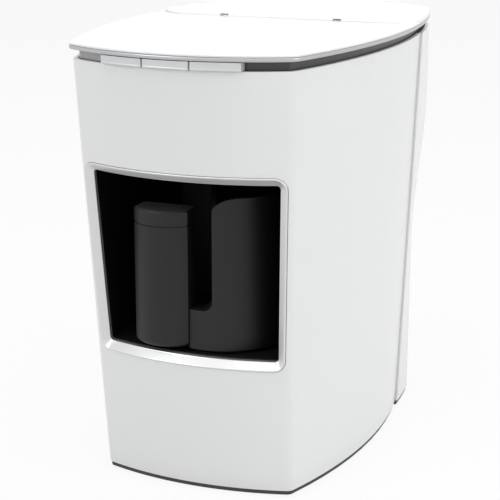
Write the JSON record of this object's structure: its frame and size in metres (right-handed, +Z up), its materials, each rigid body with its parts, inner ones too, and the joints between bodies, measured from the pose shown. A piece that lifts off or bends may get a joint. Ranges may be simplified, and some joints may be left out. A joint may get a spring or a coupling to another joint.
{
  "type": "electric turkish coffee maker",
  "caption": "Tapered white coffee maker with a framed brewing window, a lift-off handled pot on a hot plate, front keys and a removable rear water tank with a hinged lid.",
  "frame": {"origin": "on the ground under the middle of the lid", "axes": "+Z up, -Y towards the front with the window and keys, +X to the right seen from the front"},
  "size_m": [0.16, 0.261, 0.2366],
  "materials": {
    "white_plastic": "glossy moulded white",
    "silver_plastic": "silver painted plastic",
    "chrome_trim": "bright plated",
    "black_plastic": "satin black",
    "dark_plastic": "fine matt texture",
    "grey_plastic": "satin grey",
    "rubber": "matt rubber",
    "seal_rubber": "silicone rubber",
    "steel": "brushed",
    "hot_plate": "dark non-stick coat",
    "board_green": "solder mask",
    "hose_clear": "translucent silicone",
    "tank_clear": "clear smoke plastic",
    "lens_dark": "dark lens"
  },
  "bodies": {
    "housing": {"front_shell": "white_plastic", "rear_cover": "white_plastic", "base_plate": "dark_plastic", "rubber_feet": "rubber", "base_screws": "steel", "cover_screws": "steel", "window_frame": "chrome_trim", "chamber_liner": "black_plastic", "heating_plate": "hot_plate", "plate_seal": "seal_rubber", "heating_element": "steel", "thermostat": "grey_plastic", "plate_clamp": "steel", "clamp_screws": "steel", "water_spout": "grey_plastic", "sensor_column": "grey_plastic", "sensor_lens": "lens_dark", "sensor_board": "board_green", "chassis": "grey_plastic", "top_deck": "dark_plastic", "trim_band": "dark_plastic", "panel_band": "silver_plastic", "top_panel": "white_plastic", "panel_screws": "steel", "tact_switches": "black_plastic", "control_board": "board_green", "ribbon_cable": "grey_plastic", "power_board": "board_green", "pump_coil": "dark_plastic", "pump_tube": "grey_plastic", "pump_cradle": "rubber", "inlet_hose": "hose_clear", "outlet_hose": "hose_clear", "tank_dock": "dark_plastic", "dock_seal": "seal_rubber", "cord_gland": "rubber", "gland_nut": "dark_plastic"},
    "key_left": {"key_left": "silver_plastic"},
    "key_middle": {"key_middle": "silver_plastic"},
    "key_right": {"key_right": "silver_plastic"},
    "tank": {"water_tank": "tank_clear", "tank_valve": "dark_plastic"},
    "valve": {"valve_poppet": "grey_plastic", "valve_seal": "seal_rubber", "valve_spring": "steel"},
    "rear_lid": {"tank_lid": "white_plastic", "lid_band": "silver_plastic", "hinge_pin": "steel"},
    "pot": {"pot_body": "dark_plastic", "pot_liner": "steel", "pot_base": "steel", "pot_handle": "dark_plastic", "handle_cover": "dark_plastic", "handle_screws": "steel"}
  },
  "joints": [
    {"name": "key_left_press", "type": "slide", "parent": "housing", "child": "key_left", "axis": [0, 1, 0], "range_m": [0, 0.0012], "stiffness_N_per_m": 1500, "springref_m": -0.0004},
    {"name": "key_middle_press", "type": "slide", "parent": "housing", "child": "key_middle", "axis": [0, 1, 0], "range_m": [0, 0.0012], "stiffness_N_per_m": 1500, "springref_m": -0.0004},
    {"name": "key_right_press", "type": "slide", "parent": "housing", "child": "key_right", "axis": [0, 1, 0], "range_m": [0, 0.0012], "stiffness_N_per_m": 1500, "springref_m": -0.0004},
    {"name": "pot_out", "type": "slide", "parent": "housing", "child": "pot", "axis": [0, -1, 0], "range_m": [0, 0.15]},
    {"name": "tank_lift", "type": "slide", "parent": "housing", "child": "tank", "axis": [0, 0, 1], "range_m": [0, 0.14]},
    {"name": "valve_push", "type": "slide", "parent": "tank", "child": "valve", "axis": [0, 0, 1], "range_m": [0, 0.0025], "stiffness_N_per_m": 250, "springref_m": -0.001},
    {"name": "lid_hinge", "type": "hinge", "parent": "tank", "child": "rear_lid", "pos_m": [0, 0.0226, 0.2346], "axis": [1, 0, 0], "range_deg": [0, 85]}
  ]
}
